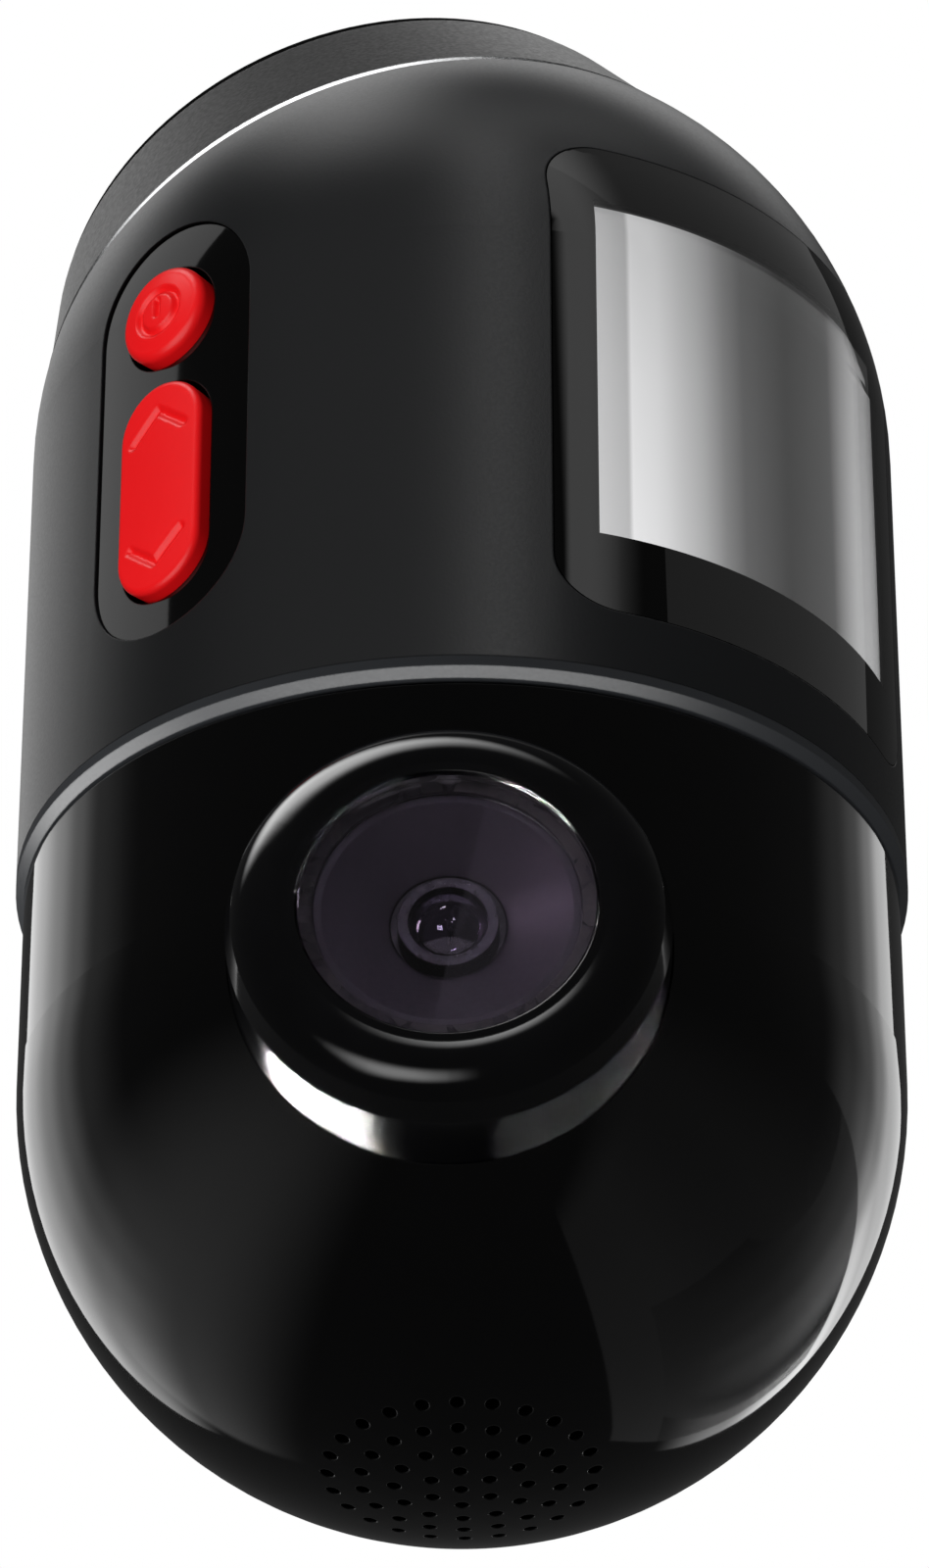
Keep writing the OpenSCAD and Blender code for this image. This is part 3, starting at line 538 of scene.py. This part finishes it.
# the CAD nodes take theirs by their slot in the record
SLOT_FINISH = {
    "mount_plastic": MOUNT_BLACK,
    "trim_metal": TRIM,
    "pad_foam": FOAM,
    "housing_plastic": CHARCOAL,
    "inner_plastic": INNER,
    "screw_steel": STEEL,
    "display_glass": GLASS,
    "black_print": PRINT,
    # the CAD display panel takes the glow with painted reflections as well
    "display_panel": LIT,
    "white_film": grained("white_film", (0.85, 0.86, 0.86), 0.6, 2000, 0.004 * MM),
    "stamped_steel": STAMPED,
    "gloss_plastic": GLOSS,
    "circuit_board": board("circuit_board", (0.008, 0.07, 0.026)),
    "chip_resin": grained("chip_resin", (0.02, 0.02, 0.022), 0.6, 4200, 0.01 * MM),
    "alloy": ALLOY,
    "alloy_black": metal("alloy_black", (0.03, 0.03, 0.032), 0.35, (1, 1, 1), 5200),
    "capacitor_sleeve": grained("capacitor_sleeve", (0.02, 0.05, 0.16), 0.3, 2400, 0.004 * MM),
    "ceramic_patch": grained("ceramic_patch", (0.62, 0.56, 0.42), 0.65, 3600, 0.012 * MM),
    "white_acetal": grained("white_acetal", (0.8, 0.78, 0.72), 0.4, 2800, 0.006 * MM),
    "flat_cable": grained("flat_cable", (0.55, 0.3, 0.1), 0.35, 1800, 0.003 * MM),
    "cover_glass": COVER,
    "seal_rubber": grained("seal_rubber", (0.01, 0.01, 0.01), 0.7, 2600, 0.01 * MM),
    "baffle_plastic": BAFFLE,
    "lens_glass": LENS_GLASS,
    "filter_glass": glass("filter_glass", (0.3, 0.45, 0.6), 0.01),
    "speaker_paper": grained("speaker_paper", (0.03, 0.03, 0.03), 0.7, 2200, 0.01 * MM),
    "mesh_fabric": fabric("mesh_fabric", (0.03, 0.03, 0.03)),
    "red_plastic": RED,
}
for row in frame["record"]["subparts"]:
    made = frame["nodes"][row["node"]]
    for spot in made.material_slots:
        spot.material = SLOT_FINISH[row["material_slot"]]
for node, finish in (("button_bezel", BEZEL_GLOSS), ("lens_ring", RING_GLOSS)):
    for spot in frame["nodes"][node].material_slots:
        spot.material = finish

# ---------- the display's lit window ----------

WINDOW_TOP_DEPTH = 0.95 * MM
WINDOW_BACK_DEPTH = 1.2 * MM
WINDOW_GAP = 0.03 * MM
WINDOW_CORNER = 0.25 * MM


def window_loop(grow):
    return rounded_loop(WINDOW_HW - WINDOW_GAP, WINDOW_LOW + WINDOW_GAP, WINDOW_HIGH - WINDOW_GAP,
                        WINDOW_CORNER, grow, 4, 0.7 * MM)


def window_face(x, z):
    return body_surface(0, x, z, WINDOW_TOP_DEPTH)[:2]


lit = plate(0, window_loop, [(0, WINDOW_TOP_DEPTH), (0, WINDOW_BACK_DEPTH)], window_face, 0.8 * MM, 0.3, True)
# the lit window glows with the painted reflections
lit.build("lit_window", "housing", "display_panel", LIT, "lcd_panel")

# ---------- the buttons ----------


def groove(distance, width, depth):
    """Depth of a soft-edged groove at this distance from its middle line."""
    return depth * (0.5 + 0.5 * math.cos(math.pi * min(1, 2 * distance / width)))


def to_segment(x, z, ax, az, bx, bz):
    """Distance from a point to a line segment."""
    dx, dz = bx - ax, bz - az
    t = max(0, min(1, ((x - ax) * dx + (z - az) * dz) / (dx * dx + dz * dz)))
    return math.hypot(x - ax - t * dx, z - az - t * dz)


def cap(loop_of, proud, edge, sink, relief, spacing):
    """Button cap on the panel: rounded edge, walls down to sink, and a face with engravings by relief."""
    rim_depth = -proud + relief(*loop_of(-edge)[0])
    step = 0.02 * MM

    def face(x, z):
        point, normal, across, up = body_surface(BUTTON_AZ, x, z, -proud + relief(x, z))
        slope_x = (relief(x + step, z) - relief(x - step, z)) / (2 * step)
        slope_z = (relief(x, z + step) - relief(x, z - step)) / (2 * step)
        return point, (normal + across * slope_x + up * slope_z).normalized()

    profile = rounded_edge(rim_depth, edge) + [(0, sink)]
    return plate(BUTTON_AZ, loop_of, profile, face, spacing, 0.4, False)


tilt_axis = JOINTS["rocker_tilt"]["axis"]
BUTTON_AZ = math.atan2(tilt_axis[1], tilt_axis[0])
power_low, power_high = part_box("power_button")
rocker_low, rocker_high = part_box("rocker")
POWER_FLANGE = 0.7 * MM  # the CAD button's hidden flange stands this far past its cap
POWER_R = (power_high.z - power_low.z) / 2 - POWER_FLANGE
POWER_Z = middle("power_button").z - SPLIT.z
POWER_PROUD = 0.95 * MM
POWER_DISH = 0.3 * MM
ROCKER_HW = 3.1 * MM
ROCKER_HL = (rocker_high.z - rocker_low.z) / 2
ROCKER_Z = JOINTS["rocker_tilt"]["pos_m"][2] - SPLIT.z
ROCKER_PROUD = 0.6 * MM

# the power symbol: a ring and an upright bar, cut into the cap
RING_R = 1.4 * MM
RING_WIDTH = 0.75 * MM
BAR_WIDTH = 0.6 * MM
BAR_LOW = -0.25 * MM
BAR_HIGH = 0.75 * MM
POWER_CUT = 0.3 * MM

# the arrows at the rocker's ends: their tips and feet lie this far from its middle
ARROW_TIP = 5.25 * MM
ARROW_RISE = 1.6 * MM
ARROW_HW = 1.9 * MM
ARROW_WIDTH = 0.85 * MM
ARROW_CUT = 0.28 * MM


def power_relief(x, z):
    """Depth of the power cap's face: it falls off towards its edge, and carries the symbol."""
    z -= POWER_Z
    crown = POWER_DISH * (x * x + z * z) / POWER_R ** 2
    ring = groove(abs(math.hypot(x, z) - RING_R), RING_WIDTH, POWER_CUT)
    bar = groove(to_segment(x, z, 0, BAR_LOW, 0, BAR_HIGH), BAR_WIDTH, POWER_CUT)
    return crown + max(ring, bar)


def rocker_relief(x, z):
    """Depth of the rocker's face: flat, with an arrow near each end."""
    z -= ROCKER_Z
    way = 1 if z > 0 else -1
    foot = way * (ARROW_TIP - ARROW_RISE)
    return groove(to_segment(abs(x), z, 0, way * ARROW_TIP, ARROW_HW, foot), ARROW_WIDTH, ARROW_CUT)


def power_loop(grow):
    return rounded_loop(POWER_R, POWER_Z - POWER_R, POWER_Z + POWER_R, POWER_R, grow, 24, MM)


def rocker_loop(grow):
    return rounded_loop(ROCKER_HW, ROCKER_Z - ROCKER_HL, ROCKER_Z + ROCKER_HL, ROCKER_HW, grow, 24, 0.4 * MM)


power = cap(power_loop, POWER_PROUD, 0.6 * MM, 2 * MM, power_relief, 0.1 * MM)
power.build("power_cap", "power_button", "red_plastic", RED, "power_button")
rocker = cap(rocker_loop, ROCKER_PROUD, 0.4 * MM, 1.9 * MM, rocker_relief, 0.13 * MM)
rocker.build("rocker_cap", "rocker", "red_plastic", RED, "rocker")

# ---------- floor ----------

FLOOR_Z = -2.5
FLOOR_REACH = 14
floor_mesh = bpy.data.meshes.new("floor")
floor_corners = [(x * FLOOR_REACH, y * FLOOR_REACH, FLOOR_Z) for x, y in ((-1, -1), (1, -1), (1, 1), (-1, 1))]
floor_mesh.from_pydata(floor_corners, [], [(0, 1, 2, 3)])
floor_mesh.materials.append(grained("floor_paper", (0.9, 0.9, 0.9), 0.8, 400, 0.05 * MM, 0.01))
floor = bpy.data.objects.new("floor", floor_mesh)
SCENE.collection.objects.link(floor)
floor.visible_glossy = False
floor.visible_shadow = False
floor.visible_diffuse = False

# ---------- light ----------

VIEW_AZ = LENS_AZ + math.radians(1.7)  # the camera stands just beside the lens's direction
SOFTBOX_FAR = 1.6  # from the body, in metres
WALL_FAR = 0.9
WHITE = (1, 1, 1)


def area_light(name, place, facing, size, radiance, only, colour=WHITE, roll=0, through=False):
    """Area light of this size and radiance that shines towards -facing, on the named objects only.
    through lets its light pass the body, for surfaces that would otherwise shade themselves.
    Returns its node tree and the split of its own x and y, which run from 0 to 1 across it."""
    lamp = bpy.data.lights.new(name, "AREA")
    lamp.shape = "RECTANGLE"
    lamp.size, lamp.size_y = size
    lamp.energy = radiance * math.pi * lamp.size * lamp.size_y
    lamp.color = colour
    made = bpy.data.objects.new(name, lamp)
    made.location = place
    spin = Matrix.Rotation(math.radians(roll), 3, "Z")
    made.rotation_euler = (facing.to_track_quat("Z", "Y").to_matrix() @ spin).to_euler()
    made.visible_camera = False
    SCENE.collection.objects.link(made)
    receivers = bpy.data.collections.new(name + "_receivers")
    for receiver in only:
        receivers.objects.link(bpy.data.objects[receiver])
    made.light_linking.receiver_collection = receivers
    if through:
        blockers = bpy.data.collections.new(name + "_blockers")
        blockers.objects.link(floor)
        made.light_linking.blocker_collection = blockers
        lamp.cycles.use_multiple_importance_sampling = False
    lamp.use_nodes = True
    tree = lamp.node_tree
    spot = tree.nodes.new("ShaderNodeNewGeometry")
    axes = tree.nodes.new("ShaderNodeSeparateXYZ")
    tree.links.new(spot.outputs["Parametric"], axes.inputs[0])
    return tree, axes


def dim(tree, value, before=None):
    """Multiplies a light's strength by one more value, and returns the product so far."""
    if before is None:
        tree.links.new(value, tree.nodes["Emission"].inputs["Strength"])
        return value
    both = tree.nodes.new("ShaderNodeMath")
    both.operation = "MULTIPLY"
    tree.links.new(before, both.inputs[0])
    tree.links.new(value, both.inputs[1])
    tree.links.new(both.outputs[0], tree.nodes["Emission"].inputs["Strength"])
    return both.outputs[0]


def direction(turn, lift):
    """Unit vector out from the body. turn is the angle round it from the camera's side, and lift the
    angle above the horizon."""
    az, up = VIEW_AZ + math.radians(turn), math.radians(lift)
    return Vector((math.sin(az) * math.cos(up), -math.cos(az) * math.cos(up), math.sin(up)))


def softbox(name, turn, lift, wide, high, radiance, colour=WHITE, roll=0, fade=(0, 0, 0, 0), only=(),
            through=False):
    """Area light aimed at the body from a direction. wide and high are its half angles as the body
    sees it, in degrees. fade gives the share of it, from its left, right, low and high edges, over
    which it fades out."""
    size = [2 * SOFTBOX_FAR * math.tan(math.radians(half)) for half in (wide, high)]
    way = direction(turn, lift)
    place = SPLIT + way * SOFTBOX_FAR
    tree, axes = area_light(name, place, way, size, radiance, only, colour, roll, through)
    value = None
    for axis, near, away in (("X", fade[0], fade[1]), ("Y", fade[2], fade[3])):
        for share, low, high_end in ((near, 0, near), (away, 1, 1 - away)):
            if share:
                ease = tree.nodes.new("ShaderNodeMapRange")
                ease.interpolation_type = "SMOOTHSTEP"
                ease.inputs["From Min"].default_value = low
                ease.inputs["From Max"].default_value = high_end
                tree.links.new(axes.outputs[axis], ease.inputs["Value"])
                value = dim(tree, ease.outputs["Result"], value)


def wall(name, turn, left, right, low, high, across, upward, only):
    """Upright wall of light square to the direction turn. left, right, low and high are its edges as
    angles from that direction, in degrees. across and upward are its brightness at such angles:
    pairs of angle and value."""
    edges = [WALL_FAR * math.tan(math.radians(edge)) for edge in (left, right, low, high)]
    out = direction(turn, 0)
    side = Vector((-out.y, out.x, 0))
    place = SPLIT + out * WALL_FAR + side * (edges[0] + edges[1]) / 2
    place.z += (edges[2] + edges[3]) / 2
    size = (edges[1] - edges[0], edges[3] - edges[2])
    tree, axes = area_light(name, place, out, size, 1, only)
    value = None
    for axis, stops, first, length in (("X", across, edges[0], size[0]), ("Y", upward, edges[2], size[1])):
        made = tree.nodes.new("ShaderNodeValToRGB")
        made.color_ramp.interpolation = "EASE"
        while len(made.color_ramp.elements) < len(stops):
            made.color_ramp.elements.new(0.5)
        for element, (angle, level) in zip(made.color_ramp.elements, stops):
            element.position = (WALL_FAR * math.tan(math.radians(angle)) - first) / length
            element.color = (level, level, level, 1)
        tree.links.new(axes.outputs[axis], made.inputs["Fac"])
        value = dim(tree, made.outputs["Color"], value)


HOUSING = ("upper_shell",)
ROTOR = ("rotor_shell",)
RED_CAPS = ("power_cap", "rocker_cap")
LENS = ("lens_cover_glass",)
FRONT_LENS = ("front_element", "lens_cover_glass")  # its light comes and goes through the cover glass
DRUM = ("mount_drum", "adhesive_pad")
SOFT = (0.4, 0.4, 0.4, 0.4)
FIRM = (0.3, 0.3, 0.3, 0.3)

# the rotor stands between two tall walls of light that grow brighter away from the camera
wall("rotor_left", -90, -62.5, 0, -30, 52,
     ((-62.5, 1.8), (-50, 1.5), (-38, 1.05), (-28, 0.55), (-18, 0.15), (0, 0)),
     ((-30, 0), (-6, 0.7), (10, 1), (52, 1)), ROTOR)
wall("rotor_right", 85, 15, 69, -50, 52,
     ((15, 0), (28, 0.25), (38, 0.6), (46, 1.5), (54, 3), (69, 3.2)),
     ((-50, 0), (-25, 0.4), (0, 0.95), (12, 1), (24, 0.6), (35, 0.5), (52, 0.5)), ROTOR)
wall("rotor_card", 85, -50, 66, -62, 10,
     ((-50, 0), (-35, 0.1), (20, 0.12), (60, 0.14), (66, 0.14)),
     ((-62, 1), (-50, 1), (-20, 0.5), (10, 0)), ROTOR)
softbox("rotor_glow", -84, -28, 64, 34, 0.36, fade=(0.05, 0.6, 0.45, 0.5), only=ROTOR)

# the housing: a soft upright highlight, a paler left side, and a broad glow over its dome
softbox("housing_strip", 10, 40, 12, 34, 1.35, fade=(0.5, 0.5, 0.2, 0.2), only=HOUSING)
softbox("housing_left", -128, 30, 34, 30, 0.75, fade=(0.1, 0.6, 0.2, 0.3), only=HOUSING)
softbox("housing_top", -100, 76, 30, 16, 1.6, fade=(0.5, 0.4, 0.5, 0.5), only=HOUSING)
softbox("housing_far_top", 30, 76, 34, 14, 0.5, fade=SOFT, only=HOUSING)
softbox("housing_fill", -30, 10, 50, 50, 0.26, fade=SOFT, only=HOUSING)
softbox("skirt_front", -4, -50, 62, 16, 6, fade=FIRM, only=("skirt_ring",))
softbox("skirt_left", -100, -20, 34, 24, 7, fade=FIRM, only=("skirt_ring",))

# the lens ring: a window at the lower left, a dim card at the lower right, a glow above and one below
softbox("ring_window", -156, -5, 11.5, 16, 22, only=("lens_ring",), through=True)
softbox("ring_card", 157, -2, 12, 26, 0.22, only=("lens_ring",), through=True)
softbox("ring_above", -50, 62, 38, 20, 7, fade=(0.3, 0.4, 0.4, 0.4), only=("lens_ring",))
softbox("ring_below", -22, -30, 26, 20, 4, fade=(0.45, 0.45, 0.45, 0.45), only=("lens_ring",))

# the display and the button panel
softbox("display_left", 37, 42, 9, 22, 1.0, fade=(0.1, 0.7, 0, 0), only=("display_glass",))
softbox("display_right", 92, 42, 31, 40, 0.2, only=("display_glass",))
softbox("panel_left", -115, 42, 27, 40, 0.75, only=("button_bezel",))
softbox("red_key", -30, -25, 38, 38, 3.5, fade=FIRM, only=RED_CAPS)
softbox("red_top", -60, 60, 20, 20, 5, fade=FIRM, only=RED_CAPS)

# the lens
softbox("lens_card", 15.3, 31, 14.9, 30, 0.1, colour=(0.92, 0.85, 1), roll=-24, only=LENS)
softbox("element_left", -67, 24, 7, 10, 90, colour=(1, 0.86, 0.95), only=FRONT_LENS)
softbox("element_right", 76, 39, 6, 22, 20, only=FRONT_LENS)
softbox("element_high", -16, 57, 3, 3, 110, only=FRONT_LENS)
softbox("element_mid", 7, 29, 3, 3, 110, only=FRONT_LENS)
softbox("barrel_front", -3, 31, 12, 12, 1, colour=(1, 0.95, 1), only=("lens_barrel",), through=True)

# the mount's ring and drum
softbox("trim_key", -30, 40, 60, 50, 2.2, fade=SOFT, only=("trim_ring",))
softbox("trim_below", -10, -50, 50, 30, 1.2, fade=SOFT, only=("trim_ring",))
softbox("drum_key", -148, 25, 42, 40, 0.7, fade=(0.3, 0.5, 0.4, 0.4), only=DRUM)
softbox("drum_front", 0, -14, 60, 30, 0.4, fade=SOFT, only=DRUM)

# a soft light for the floor alone, and one for the back of the body
sun = bpy.data.lights.new("floor_sun", "SUN")
sun.energy = 2.9
sun.angle = math.radians(40)
floor_sun = bpy.data.objects.new("floor_sun", sun)
SCENE.collection.objects.link(floor_sun)
floor_only = bpy.data.collections.new("floor_sun_receivers")
floor_only.objects.link(floor)
floor_sun.light_linking.receiver_collection = floor_only
softbox("rear_high", 180, 62, 40, 18, 0.9, fade=SOFT, only=HOUSING + DRUM)

# the camera sees a white backdrop, and the object a dim even glow
SKY_GLOW = 0.05
world = bpy.data.worlds.new("studio")
SCENE.world = world
world.use_nodes = True
sky, links = world.node_tree.nodes, world.node_tree.links
seen = sky["Background"]
seen.inputs["Color"].default_value = (1, 1, 1, 1)
felt = sky.new("ShaderNodeBackground")
felt.inputs["Color"].default_value = (1, 1, 1, 1)
felt.inputs["Strength"].default_value = SKY_GLOW
path = sky.new("ShaderNodeLightPath")
both = sky.new("ShaderNodeMixShader")
links.new(path.outputs["Is Camera Ray"], both.inputs["Fac"])
links.new(felt.outputs[0], both.inputs[1])
links.new(seen.outputs[0], both.inputs[2])
links.new(both.outputs[0], sky["World Output"].inputs["Surface"])
SCENE.view_settings.view_transform = "Standard"

# ---------- camera ----------

EYE_OUT = 333.9 * MM  # from the body's axis
EYE_BELOW = 199.6 * MM  # below the split
AIM_ABOVE = 9.37 * MM  # the camera aims at the body's axis, this far above the split
FOCAL_LENGTH = 153.2
FILM_WIDTH = 36
SHIFT = 0.0016

eye = SPLIT + Vector((math.sin(VIEW_AZ) * EYE_OUT, -math.cos(VIEW_AZ) * EYE_OUT, -EYE_BELOW))
aim = SPLIT + Vector((0, 0, AIM_ABOVE))
lens = bpy.data.cameras.new("camera")
lens.lens = FOCAL_LENGTH
lens.sensor_width = FILM_WIDTH
lens.shift_x = SHIFT
camera = bpy.data.objects.new("camera", lens)
camera.location = eye
camera.rotation_euler = (aim - eye).to_track_quat("-Z", "Y").to_euler()
SCENE.collection.objects.link(camera)
SCENE.camera = camera
